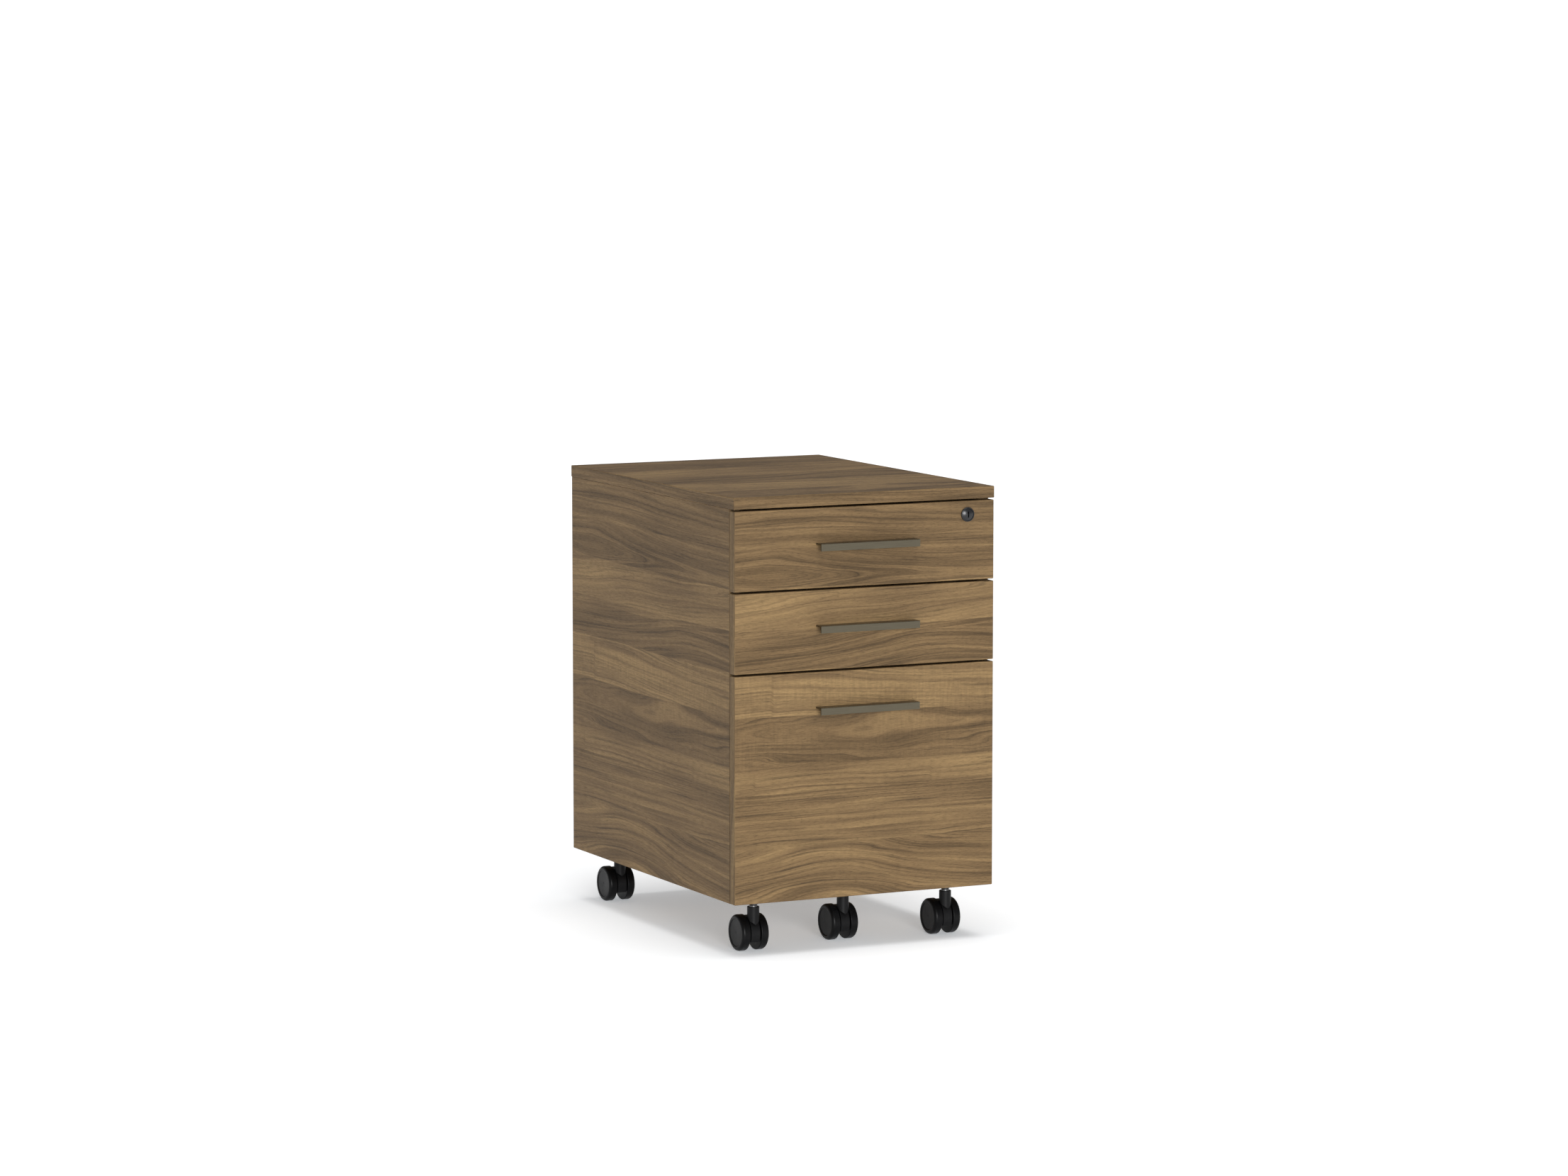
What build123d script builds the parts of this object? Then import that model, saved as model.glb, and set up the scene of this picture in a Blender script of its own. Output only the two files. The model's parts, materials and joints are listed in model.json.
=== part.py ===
"""Mobile drawer pedestal: laminated board case on five twin-wheel casters.

Two box drawers above one file drawer, on ball-bearing slides, with a gang lock
whose bar stops all three drawers.  The row frame is +Z up, the drawer fronts
face -Y, and the origin is on the floor at the middle of the whole box.
Sizes are in millimetres.
"""
from build123d import *
from math import asin, cos, radians, sin
import os

os.makedirs("parts", exist_ok=True)

# ---------------------------------------------------------------- driving dimensions
# Case
case_width = 399.2          # across the side panels
case_height = 544.0         # side panels, underside to underside of the top
case_depth = 548.2          # drawer faces to the back of the case
board = 16.0                # case and front board thickness
top_thickness = 16.5
top_overhang = 0.8          # top beyond the sides and the back
ground_clearance = 75.0     # floor to the underside of the case
front_gap = 2.6             # between drawer fronts, and under the top
front_seam = 0.5            # between a closed front and the case edge
edge_radius = 1.2           # rounded edge banding
arris = 0.5                 # eased edges of hidden boards

# Drawers
box_front_height = 110.4
box_wall = 12.0
box_length = 500.0
box_bottom_thickness = 6.0
box_bottom_lift = 10.0      # box underside to the underside of its bottom
groove_depth = 5.0
groove_play = 0.1
joint_play = 0.1            # glue line between a box's sides and ends
shallow_box_lift = 8.0      # front's lower edge to box underside
shallow_box_height = 64.0
file_box_lift = 27.0
file_box_height = 253.0

# Handles
handle_length = 152.0
handle_projection = 16.5
handle_lip = 10.0
handle_sheet = 2.0
handle_drop = 48.0          # front's top edge to the handle's top
handle_screw_pitch = 128.0
handle_corner = 0.8         # outer radius of the bend
boss_radius = 4.0
boss_merge = 0.4            # boss sunk into the flange above it
boss_length = 9.0
boss_end = 1.5              # closed end of a boss
screw_radius = 2.0
screw_hole_radius = 2.25
screw_tip_gap = 0.5
screw_head_radius = 4.0
screw_head_height = 2.5
screw_head_round = 0.8

# Slides
slide_space = 12.7          # case side to drawer box
slide_sheet = 1.2
slide_start = 19.0          # set back from the drawer faces
slide_length = 500.0
box_slide_half = 17.5       # half the height of a two-member slide
file_slide_half = 22.5      # half the height of a three-member slide
race = 3.6                  # room for the balls between two flanges
ball_radius = 1.5
ball_play = 0.15            # ball to the edge of its hole in the retainer
cage_sheet = 0.6
cage_length = 170.0
cage_hole_start = 1.0       # ball holes are cut from this far above the upper flange
balls_per_race = 6
box_cage_start = 200.0      # retainers' front ends, behind the drawer faces
file_outer_cage_start = 180.0
file_inner_cage_start = 205.0
shallow_slide_rise = 32.0   # box underside to slide centre
file_slide_rise = 123.0
catch_length = 14.0         # bracket on a drawer's side that a stop pin blocks
catch_height = 6.0
catch_reach = 9.2
catch_play = 1.5            # stop pin to catch

# Lock
lock_x = 158.0
lock_drop = 21.5            # underside of the top to the lock's axis
lock_barrel_radius = 8.0
lock_bezel_radius = 10.1
lock_bezel_height = 2.2
lock_bezel_round = 0.9
lock_bezel_floor = 0.6      # bezel left under the dome
lock_dome_radius = 8.6
lock_dome_height = 3.8
lock_dome_rise = 2.2        # crown of the dome
lock_plug_radius = 5.8
lock_depth = 22.0
plug_tail = 0.6             # plug beyond the housing's back
key_slot = (1.8, 8.6)
key_slot_depth = 9.0
cam_throw = 9.0
cam_sheet = 2.6
cam_hub_radius = 6.5
cam_eye_radius = 3.4
cam_pin_radius = 2.0
cam_pin_length = 9.5
running = 0.05              # radial clearance of a running fit
bar_width = 12.0
bar_sheet = 3.0
bar_y = 26.0                # depth of the bar's centre behind the drawer faces
bar_inset = 1.3             # case side to the bar's inner face
bar_foot = 95.0             # case underside to the bar's lower end
bar_head = 1.0              # lock's axis to the bar's upper end
bar_tab_sheet = 2.0
bar_tab_half = 6.6          # half the height of the tab that the cam lifts
slot_play = 0.6             # cam pin to the long sides of its slot
slot_end_play = 1.0         # cam pin to the ends of its slot
strap_rises = (200.0, 405.0)   # case underside to each strap's middle
strap_sheet = 1.2
strap_height = 20.0
strap_depth = 42.0          # drawer faces to a strap's back end
strap_setback = 0.5
stop_pin_radius = 2.5
stop_pin_gap = 2.6          # drawer side to a stop pin's end
catch_drop = 6.5            # slide's lower edge to a locked stop pin

# Casters
wheel_radius = 25.4
wheel_width = 12.05
wheel_inner = 8.4           # stem axis to the wheel's inner face
wheel_bore_depth = 9.5
trail = 14.7                # stem axis to wheel axle
fork_half = 6.65            # half the width of the plate between the wheels
fork_radius = 23.8
fork_tube_radius = 8.45
fork_tube_top = 63.5
fork_floor = 14.0           # floor to the plate's lower edge
fork_tube_round = 0.8
tube_tip = 38.3             # lowest point of the tube's V-shaped foot
foot_slope = 0.72
foot_reach = 12.0           # past the tube on either side
wheel_clearance = 0.8       # tube to tread
face_dish = 1.2             # wheel's middle below its rim ring
ring_inner_radius = 18.6
ring_rise = 0.9
tread_round = 4.2           # outer shoulder of the tread
wheel_inner_round = 1.0
stem_radius = 4.0
stem_shoulder_radius = 5.6
stem_waist_radius = 4.9
stem_collar_radius = 6.9
stem_shoulder_rise = 1.0    # tube's top to the shoulder's top
stem_waist_rise = 0.4       # shoulder's top to the waist
stem_collar_rise = 2.8      # shoulder's top to the collar's lower edge
stem_tip_gap = 2.0          # stem's top to the board's upper face
socket_tip_gap = 1.0        # socket's top to the board's upper face
stem_pivot_length = 24.0
pivot_end_gap = 1.0         # pivot's end to the bottom of its bore
shoulder_sink = 0.6         # shoulder below the tube's top
shoulder_play = 0.3
mouth_depth = 1.0
axle_radius = 3.0
axle_end_gap = 0.5
axle_chamfer = 0.5
washer_radius = 9.0
socket_radius = 6.0
socket_flange = 1.5
nut_height = 6.5
nut_half_flats = 6.5
stem_above_nut = 3.0
caster_inset = 50.1         # case side to stem axis
front_caster_y = 46.5       # behind the drawer faces
rear_caster_y = 495.0
anti_tip_y = 69.0

# ---------------------------------------------------------------- derived places
half_case = case_width / 2
inner_x = half_case - board
half_top = half_case + top_overhang
top_depth = case_depth + top_overhang
overall_depth = top_depth + handle_projection
front_y = -overall_depth / 2 + handle_projection   # plane of the drawer faces
panel_y = front_y + board + front_seam             # front edges of the case boards
back_y = front_y + case_depth
back_inner_y = back_y - board
under_z = ground_clearance
top_z = under_z + case_height
box_half = inner_x - slide_space
box_inner = box_half - box_wall
box_y = front_y + board
file_front_height = case_height - 3 * front_gap - 2 * box_front_height
caster_x = half_case - caster_inset
lock_z = top_z - lock_drop
cam_lift = 2 * cam_throw * sin(radians(45))        # bar travel for a quarter turn


def save(piece, name):
    """Label a finished piece and write it as its own node."""
    piece.part.label = name
    export_step(piece.part, f"parts/{name}.step")


def section(y):
    """A plane across the depth, at y, drawn with X to the right and Z up."""
    return Plane.XZ.offset(-y)


def slab(x_span, y_span, z_span, eased=arris):
    """A board between two corners, with its edges eased."""
    with BuildPart() as piece:
        with BuildSketch(Plane.XY.offset(z_span[0])):
            with Locations(((x_span[0] + x_span[1]) / 2, (y_span[0] + y_span[1]) / 2)):
                Rectangle(x_span[1] - x_span[0], y_span[1] - y_span[0])
        extrude(amount=z_span[1] - z_span[0])
        if eased:
            chamfer(piece.edges(), eased)
    return piece.part


def rod(start, direction, radius, length):
    """A round bar from a point along a direction."""
    with BuildPart() as piece:
        with BuildSketch(Plane(origin=start, z_dir=direction)):
            Circle(radius)
        extrude(amount=length)
    return piece.part


# ---------------------------------------------------------------- cam fittings
# Each fitting is a disc let into one board and a bolt that reaches through the
# joint into the next board: disc face, way into the board, way along the bolt.
disc_radius = 7.5
disc_depth = 12.5
disc_setback = 24.0
bolt_radius = 3.0
bolt_grip = 10.0
bolt_tip_gap = 0.5          # bolt's end to the wall of its hole in the disc
pocket_play = 0.1
driver_cross = (9.0, 2.0)   # cross slot in the disc's face
driver_depth = 1.5
fitting_inset = 110.0       # case edges to the nearest fitting
fitting_depths = (front_y + fitting_inset, back_y - fitting_inset)
fitting_heights = (under_z + fitting_inset, top_z - fitting_inset)
fittings = []
for side in (-1, 1):
    for y in fitting_depths:
        fittings.append(((side * inner_x, y, top_z - disc_setback), (side, 0, 0), (0, 0, 1)))
        fittings.append(((side * (inner_x - disc_setback), y, under_z + board), (0, 0, -1), (side, 0, 0)))
    for z in fitting_heights:
        fittings.append(((side * (inner_x - disc_setback), back_inner_y, z), (0, 1, 0), (side, 0, 0)))


def bolt_start(face, inward):
    """The bolt's axis crosses the disc at half the board's thickness."""
    return tuple(Vector(*face) + Vector(*inward) * (board / 2))


with BuildPart() as cam_pockets:
    for face, inward, along in fittings:
        add(rod(face, inward, disc_radius + pocket_play, disc_depth + pocket_play))
        add(rod(bolt_start(face, inward), along, bolt_radius + pocket_play,
                disc_setback + bolt_grip + pocket_play))

with BuildPart() as cam_fittings:
    for face, inward, along in fittings:
        add(rod(face, inward, disc_radius, disc_depth))
    for face, inward, along in fittings:
        add(rod(bolt_start(face, inward), along, bolt_radius + pocket_play, disc_radius + 1),
            mode=Mode.SUBTRACT)
    for face, inward, along in fittings:
        with BuildSketch(Plane(origin=face, z_dir=inward)):
            Rectangle(*driver_cross)
            Rectangle(*driver_cross, rotation=90)
        extrude(amount=driver_depth, mode=Mode.SUBTRACT)
    for face, inward, along in fittings:
        tip = tuple(Vector(*bolt_start(face, inward)) + Vector(*along) * bolt_tip_gap)
        add(rod(tip, along, bolt_radius, disc_setback + bolt_grip - bolt_tip_gap))
save(cam_fittings, "cam_fittings")

# ---------------------------------------------------------------- case boards
with BuildPart() as top_panel:
    add(slab((-half_top, half_top), (front_y, front_y + top_depth), (top_z, top_z + top_thickness), None))
    fillet(top_panel.edges(), edge_radius)
    add(cam_pockets.part, mode=Mode.SUBTRACT)
save(top_panel, "top_panel")

with BuildPart() as left_side_panel:
    add(slab((-half_case, -inner_x), (panel_y, back_y), (under_z, top_z)))
    add(cam_pockets.part, mode=Mode.SUBTRACT)
save(left_side_panel, "left_side_panel")

# The right side has a groove that the lock bar runs in.
bar_groove_depth = 7.0
bar_groove_width = bar_width + 2.0
bar_groove_end = 2.0        # groove past the bar's travel
bar_low_z = under_z + bar_foot
bar_high_z = lock_z + bar_head
with BuildPart() as right_side_panel:
    add(slab((inner_x, half_case), (panel_y, back_y), (under_z, top_z)))
    add(cam_pockets.part, mode=Mode.SUBTRACT)
    with BuildSketch(Plane.YZ.offset(inner_x)):
        groove_low = bar_low_z - bar_groove_end
        groove_high = bar_high_z + cam_lift + bar_groove_end
        with Locations((front_y + bar_y, (groove_low + groove_high) / 2)):
            Rectangle(bar_groove_width, groove_high - groove_low)
    extrude(amount=bar_groove_depth, mode=Mode.SUBTRACT)
save(right_side_panel, "right_side_panel")

# The bottom has a notch at the front for the file drawer's own caster.
notch_half = 29.0
notch_depth = 84.0
caster_spots = {
    "front_left": (-caster_x, front_y + front_caster_y),
    "front_right": (caster_x, front_y + front_caster_y),
    "rear_left": (-caster_x, front_y + rear_caster_y),
    "rear_right": (caster_x, front_y + rear_caster_y),
}
with BuildPart() as bottom_panel:
    add(slab((-inner_x, inner_x), (panel_y, back_inner_y), (under_z, under_z + board)))
    add(cam_pockets.part, mode=Mode.SUBTRACT)
    with BuildSketch(Plane.XY.offset(under_z)):
        with Locations((0, panel_y + notch_depth / 2)):
            Rectangle(2 * notch_half, notch_depth)
    extrude(amount=board, mode=Mode.SUBTRACT)
    with Locations(*[(x, y, under_z + board) for x, y in caster_spots.values()]):
        Hole(socket_radius + pocket_play)
save(bottom_panel, "bottom_panel")

with BuildPart() as back_panel:
    add(slab((-inner_x, inner_x), (back_inner_y, back_y), (under_z, top_z)))
    add(cam_pockets.part, mode=Mode.SUBTRACT)
save(back_panel, "back_panel")

# ---------------------------------------------------------------- drawer layout
# Each drawer: front's lower and upper edge, box underside and height, slide centre
# and half height.
upper_low = top_z - front_gap - box_front_height
middle_low = upper_low - front_gap - box_front_height
drawers = {
    "upper": dict(low=upper_low, high=upper_low + box_front_height,
                  box=upper_low + shallow_box_lift, height=shallow_box_height,
                  slide=upper_low + shallow_box_lift + shallow_slide_rise, half=box_slide_half),
    "middle": dict(low=middle_low, high=middle_low + box_front_height,
                   box=middle_low + shallow_box_lift, height=shallow_box_height,
                   slide=middle_low + shallow_box_lift + shallow_slide_rise, half=box_slide_half),
    "file": dict(low=under_z, high=under_z + file_front_height,
                 box=under_z + file_box_lift, height=file_box_height,
                 slide=under_z + file_box_lift + file_slide_rise, half=file_slide_half),
}


def channel(side, centre_z, half, web, tip, lip):
    """A C-shaped slide member on one side of the case.

    web and tip are distances in from the case side: the web's outer face and
    the free edge of its flanges.  lip turns the flange edges in to hold balls.
    """
    step = 1 if tip > web else -1
    web_x = side * (inner_x - web - step * slide_sheet / 2)
    flange_x = side * (inner_x - (web + tip) / 2)
    lip_x = side * (inner_x - tip + step * slide_sheet / 2)
    lip_reach = 2.0
    with BuildPart() as member:
        with BuildSketch(section(front_y + slide_start)):
            with Locations((web_x, centre_z)):
                Rectangle(slide_sheet, 2 * half)
            with Locations(*[(flange_x, centre_z + v * (half - slide_sheet / 2)) for v in (-1, 1)]):
                Rectangle(abs(tip - web), slide_sheet)
            if lip:
                lip_z = half - slide_sheet - lip_reach / 2
                with Locations(*[(lip_x, centre_z + v * lip_z) for v in (-1, 1)]):
                    Rectangle(slide_sheet, lip_reach)
        extrude(amount=-slide_length)
    return member.part


def ball_cage(side, centre_z, race_height, web, tip, ball_u, start_y):
    """A sheet retainer with two rows of loose balls, standing race_height off centre."""
    pitch = cage_length / balls_per_race
    ball_ys = [start_y + pitch * (i + 0.5) for i in range(balls_per_race)]
    ball_x = side * (inner_x - ball_u)
    with BuildPart() as cage:
        with BuildSketch(section(start_y)):
            with Locations((side * (inner_x - web - cage_sheet / 2), centre_z)):
                Rectangle(cage_sheet, 2 * race_height + cage_sheet)
            flange_x = side * (inner_x - (web + tip) / 2)
            with Locations(*[(flange_x, centre_z + v * race_height) for v in (-1, 1)]):
                Rectangle(tip - web, cage_sheet)
        extrude(amount=-cage_length)
        with Locations(*[(ball_x, y, centre_z + race_height + cage_hole_start) for y in ball_ys]):
            Hole(ball_radius + ball_play)
        for v in (-1, 1):
            with Locations(*[(ball_x, y, centre_z + v * race_height) for y in ball_ys]):
                Sphere(ball_radius)
    return cage.part


# ---------------------------------------------------------------- slides in the case
outer_tip = 8.5
with BuildPart() as slide_outer_members:
    for drawer in drawers.values():
        for side in (-1, 1):
            add(channel(side, drawer["slide"], drawer["half"], 0.0, outer_tip, lip=True))
save(slide_outer_members, "slide_outer_members")

file_drawer = drawers["file"]
step_in = slide_sheet + race                   # height lost by each nested member
middle_web = 3.5
middle_tip = 10.5
with BuildPart() as file_slide_middles:
    for side in (-1, 1):
        add(channel(side, file_drawer["slide"], file_slide_half - step_in, middle_web, middle_tip, lip=True))
save(file_slide_middles, "file_slide_middles")

outer_race = slide_sheet + race / 2            # flange's outer face to the ball row
cage_web = 1.5
cage_tip = 6.9
outer_ball_u = 5.2
inner_cage_web = 5.0
inner_cage_tip = 9.0
inner_ball_u = 7.6
for name in ("upper", "middle"):
    with BuildPart() as cages:
        for side in (-1, 1):
            add(ball_cage(side, drawers[name]["slide"], box_slide_half - outer_race,
                          cage_web, cage_tip, outer_ball_u, front_y + box_cage_start))
    save(cages, f"{name}_ball_cages")

with BuildPart() as file_outer_cages:
    for side in (-1, 1):
        add(ball_cage(side, file_drawer["slide"], file_slide_half - outer_race,
                      cage_web, cage_tip, outer_ball_u, front_y + file_outer_cage_start))
save(file_outer_cages, "file_outer_ball_cages")

with BuildPart() as file_inner_cages:
    for side in (-1, 1):
        add(ball_cage(side, file_drawer["slide"], file_slide_half - step_in - outer_race,
                      inner_cage_web, inner_cage_tip, inner_ball_u, front_y + file_inner_cage_start))
save(file_inner_cages, "file_inner_ball_cages")

# ---------------------------------------------------------------- drawers
inner_web = slide_space
inner_tip = {"upper": 4.0, "middle": 4.0, "file": 6.5}
inner_half = {"upper": box_slide_half - step_in, "middle": box_slide_half - step_in,
              "file": file_slide_half - 2 * step_in}
catch_y = front_y + bar_y + stop_pin_radius + catch_play


def stop_pin_z(drawer):
    """Height of a drawer's stop pin when locked, level with its catch."""
    return drawer["slide"] - drawer["half"] - catch_drop


for name, drawer in drawers.items():
    handle_z = drawer["high"] - handle_drop
    screw_z = handle_z - handle_sheet - boss_radius + boss_merge
    screw_spots = [(x, screw_z) for x in (-handle_screw_pitch / 2, handle_screw_pitch / 2)]
    box_top = drawer["box"] + drawer["height"]
    bottom_z = drawer["box"] + box_bottom_lift

    with BuildPart() as front:
        add(slab((-half_case, half_case), (front_y, box_y), (drawer["low"], drawer["high"]), None))
        fillet(front.edges(), edge_radius)
        with BuildSketch(section(front_y)):
            with Locations(*screw_spots):
                Circle(screw_hole_radius)
            if name == "upper":
                with Locations((lock_x, lock_z)):
                    Circle(lock_barrel_radius + pocket_play)
        extrude(amount=-board, mode=Mode.SUBTRACT)
    save(front, f"{name}_front")

    # Two sides and two ends, all grooved for the bottom.
    with BuildPart() as box_walls:
        for side in (-1, 1):
            add(slab(sorted((side * box_half, side * box_inner)), (box_y, box_y + box_length),
                     (drawer["box"], box_top)))
        end_half = box_inner - joint_play
        for end_y in (box_y, box_y + box_length - box_wall):
            add(slab((-end_half, end_half), (end_y, end_y + box_wall), (drawer["box"], box_top)))
        add(slab((-box_inner - groove_depth, box_inner + groove_depth),
                 (box_y + box_wall - groove_depth, box_y + box_length - box_wall + groove_depth),
                 (bottom_z - groove_play, bottom_z + box_bottom_thickness + groove_play), None),
            mode=Mode.SUBTRACT)
        with BuildSketch(section(box_y)):
            with Locations(*screw_spots):
                Circle(screw_hole_radius)
        extrude(amount=-box_wall, mode=Mode.SUBTRACT)
    save(box_walls, f"{name}_box_walls")

    with BuildPart() as box_bottom:
        reach = groove_depth - 2 * groove_play
        add(slab((-box_inner - reach, box_inner + reach),
                 (box_y + box_wall - reach, box_y + box_length - box_wall + reach),
                 (bottom_z, bottom_z + box_bottom_thickness), None))
    save(box_bottom, f"{name}_box_bottom")

    # Inverted L pull with two tapped bosses under its flange.
    with BuildPart() as handle:
        with BuildSketch(Plane.YZ.offset(-handle_length / 2)):
            with BuildLine():
                Polyline(
                    (front_y, handle_z),
                    (front_y - handle_projection, handle_z),
                    (front_y - handle_projection, handle_z - handle_lip),
                    (front_y - handle_projection + handle_sheet, handle_z - handle_lip),
                    (front_y - handle_projection + handle_sheet, handle_z - handle_sheet),
                    (front_y, handle_z - handle_sheet),
                    close=True,
                )
            make_face()
        extrude(amount=handle_length)
        long_edges = handle.edges().filter_by(Axis.X)
        outer_corner = long_edges.sort_by(Axis.Y)[0:2].sort_by(Axis.Z)[-1]
        fillet(outer_corner, handle_corner)
        with BuildSketch(section(front_y)):
            with Locations(*screw_spots):
                Circle(boss_radius)
        extrude(amount=boss_length)
        with BuildSketch(section(front_y)):
            with Locations(*screw_spots):
                Circle(screw_radius + running)
        extrude(amount=boss_length - boss_end, mode=Mode.SUBTRACT)
    save(handle, f"{name}_handle")

    with BuildPart() as handle_screws:
        with BuildSketch(section(box_y + box_wall)):
            with Locations(*screw_spots):
                Circle(screw_head_radius)
        extrude(amount=-screw_head_height)
        fillet(handle_screws.edges().group_by(Axis.Y)[-1], screw_head_round)
        with BuildSketch(section(box_y + box_wall)):
            with Locations(*screw_spots):
                Circle(screw_radius)
        extrude(amount=boss_length - boss_end - screw_tip_gap + board + box_wall)
    save(handle_screws, f"{name}_handle_screws")

    # Drawer members, and below the right-hand one a bracket that the lock's stop pin blocks.
    with BuildPart() as slide_inners:
        for side in (-1, 1):
            add(channel(side, drawer["slide"], inner_half[name], inner_web, inner_tip[name], lip=False))
        catch_low = stop_pin_z(drawer) - catch_height / 2
        catch_high = drawer["slide"] - inner_half[name] - joint_play
        add(slab((box_half, box_half + slide_sheet), (catch_y, catch_y + catch_length),
                 (catch_low, catch_high), None))
        add(slab((box_half, box_half + catch_reach), (catch_y, catch_y + slide_sheet),
                 (catch_low, catch_low + catch_height), None))
    save(slide_inners, f"{name}_slide_inners")

# ---------------------------------------------------------------- hanging file rails
# A J section hooked over each side of the file box, with an upright rib for folders.
rail_sheet = 2.0
rail_rise = 12.0            # rib above the box
rail_hang = 10.0            # rib below the box's top
rail_grip = 6.0             # outer leg
rail_inset = 4.0            # rail's end to the box's end wall
file_box_top = file_drawer["box"] + file_box_height
with BuildPart() as hanging_rails:
    for side in (-1, 1):
        with BuildSketch(section(box_y + box_wall + rail_inset)):
            with Locations((side * (box_half + box_inner) / 2, file_box_top + rail_sheet / 2)):
                Rectangle(box_wall + 2 * rail_sheet, rail_sheet)
            with Locations((side * (box_half + rail_sheet / 2), file_box_top - rail_grip / 2)):
                Rectangle(rail_sheet, rail_grip)
            with Locations((side * (box_inner - rail_sheet / 2), file_box_top + (rail_rise - rail_hang) / 2)):
                Rectangle(rail_sheet, rail_rise + rail_hang)
        extrude(amount=-(box_length - 2 * box_wall - 2 * rail_inset))
save(hanging_rails, "hanging_rails")

# ---------------------------------------------------------------- anti-tip bracket
# A pressed saddle behind the file front that carries the fifth caster.
saddle_half = 24.0
saddle_sheet = 3.0
saddle_length = 72.0
saddle_ear = 12.0
saddle_top = file_drawer["box"] + box_bottom_lift
anti_tip_spot = (0.0, front_y + anti_tip_y)
with BuildPart() as anti_tip_bracket:
    add(slab((-saddle_half, saddle_half), (box_y, box_y + saddle_length),
             (under_z, under_z + saddle_sheet), None))
    add(slab((-saddle_half, saddle_half), (box_y, box_y + saddle_sheet),
             (under_z, file_drawer["box"]), None))
    for side in (-1, 1):
        with BuildSketch(Plane.YZ.offset(side * saddle_half)):
            with BuildLine():
                Polyline(
                    (box_y, under_z),
                    (box_y + saddle_length, under_z),
                    (box_y + saddle_length, saddle_top),
                    (box_y + box_wall, saddle_top),
                    (box_y + box_wall, file_drawer["box"]),
                    (box_y, file_drawer["box"]),
                    close=True,
                )
            make_face()
        extrude(amount=-side * saddle_sheet)
        ear = sorted((side * (saddle_half - saddle_sheet), side * (saddle_half + saddle_ear)))
        add(slab(ear, (box_y + box_wall, box_y + saddle_length),
                 (saddle_top - saddle_sheet, saddle_top), None))
    with Locations((*anti_tip_spot, under_z + saddle_sheet)):
        Hole(stem_radius + pocket_play, depth=saddle_sheet)
save(anti_tip_bracket, "anti_tip_bracket")

# ---------------------------------------------------------------- gang lock
with BuildPart() as lock_housing:
    with BuildSketch(section(front_y)):
        with Locations((lock_x, lock_z)):
            Circle(lock_bezel_radius)
    extrude(amount=lock_bezel_height)
    fillet(lock_housing.edges().sort_by(Axis.Y)[0], lock_bezel_round)
    with BuildSketch(section(front_y)):
        with Locations((lock_x, lock_z)):
            Circle(lock_barrel_radius)
    extrude(amount=-lock_depth)
    with BuildSketch(section(front_y - lock_bezel_height)):
        with Locations((lock_x, lock_z)):
            Circle(lock_dome_radius + running)
    extrude(amount=-(lock_bezel_height - lock_bezel_floor), mode=Mode.SUBTRACT)
    with BuildSketch(section(front_y - lock_bezel_height)):
        with Locations((lock_x, lock_z)):
            Circle(lock_plug_radius + running)
    extrude(amount=-(lock_depth + lock_bezel_height), mode=Mode.SUBTRACT)
save(lock_housing, "lock_housing")

# Plug: a domed head with a key slot, and a shank through the housing.
dome_base = front_y - lock_bezel_floor - 0.1
dome_front = front_y - lock_dome_height
dome_edge = dome_front + lock_dome_rise
dome_sphere = (lock_dome_radius**2 + lock_dome_rise**2) / (2 * lock_dome_rise)
dome_half_angle = asin(lock_dome_radius / dome_sphere) / 2
dome_middle = (lock_x + dome_sphere * sin(dome_half_angle),
               dome_front + dome_sphere * (1 - cos(dome_half_angle)))
cam_y = front_y + lock_depth + plug_tail
with BuildPart() as lock_plug:
    with BuildSketch(Plane.XY.offset(lock_z)):
        with BuildLine():
            ThreePointArc((lock_x, dome_front), dome_middle, (lock_x + lock_dome_radius, dome_edge))
            Polyline(
                (lock_x + lock_dome_radius, dome_edge),
                (lock_x + lock_dome_radius, dome_base),
                (lock_x + lock_plug_radius, dome_base),
                (lock_x + lock_plug_radius, cam_y),
                (lock_x, cam_y),
                (lock_x, dome_front),
            )
        make_face()
    revolve(axis=Axis((lock_x, 0, lock_z), (0, 1, 0)))
    with BuildSketch(section(dome_front)):
        with Locations((lock_x, lock_z)):
            SlotOverall(key_slot[1], key_slot[0], rotation=90)
    extrude(amount=-key_slot_depth, mode=Mode.SUBTRACT)
save(lock_plug, "lock_plug")

# Cam: a lever on the plug's tail with a drive pin pointing back.
cam_pin_x = lock_x + cam_throw * cos(radians(45))
cam_pin_z = lock_z - cam_throw * sin(radians(45))
with BuildPart() as lock_cam:
    with BuildSketch(section(cam_y)):
        with Locations((lock_x, lock_z)):
            Circle(cam_hub_radius)
        with Locations((cam_pin_x, cam_pin_z)):
            Circle(cam_eye_radius)
        make_hull()
    extrude(amount=-cam_sheet)
    with BuildSketch(section(cam_y + cam_sheet)):
        with Locations((cam_pin_x, cam_pin_z)):
            Circle(cam_pin_radius)
    extrude(amount=-cam_pin_length)
save(lock_cam, "lock_cam")

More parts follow.
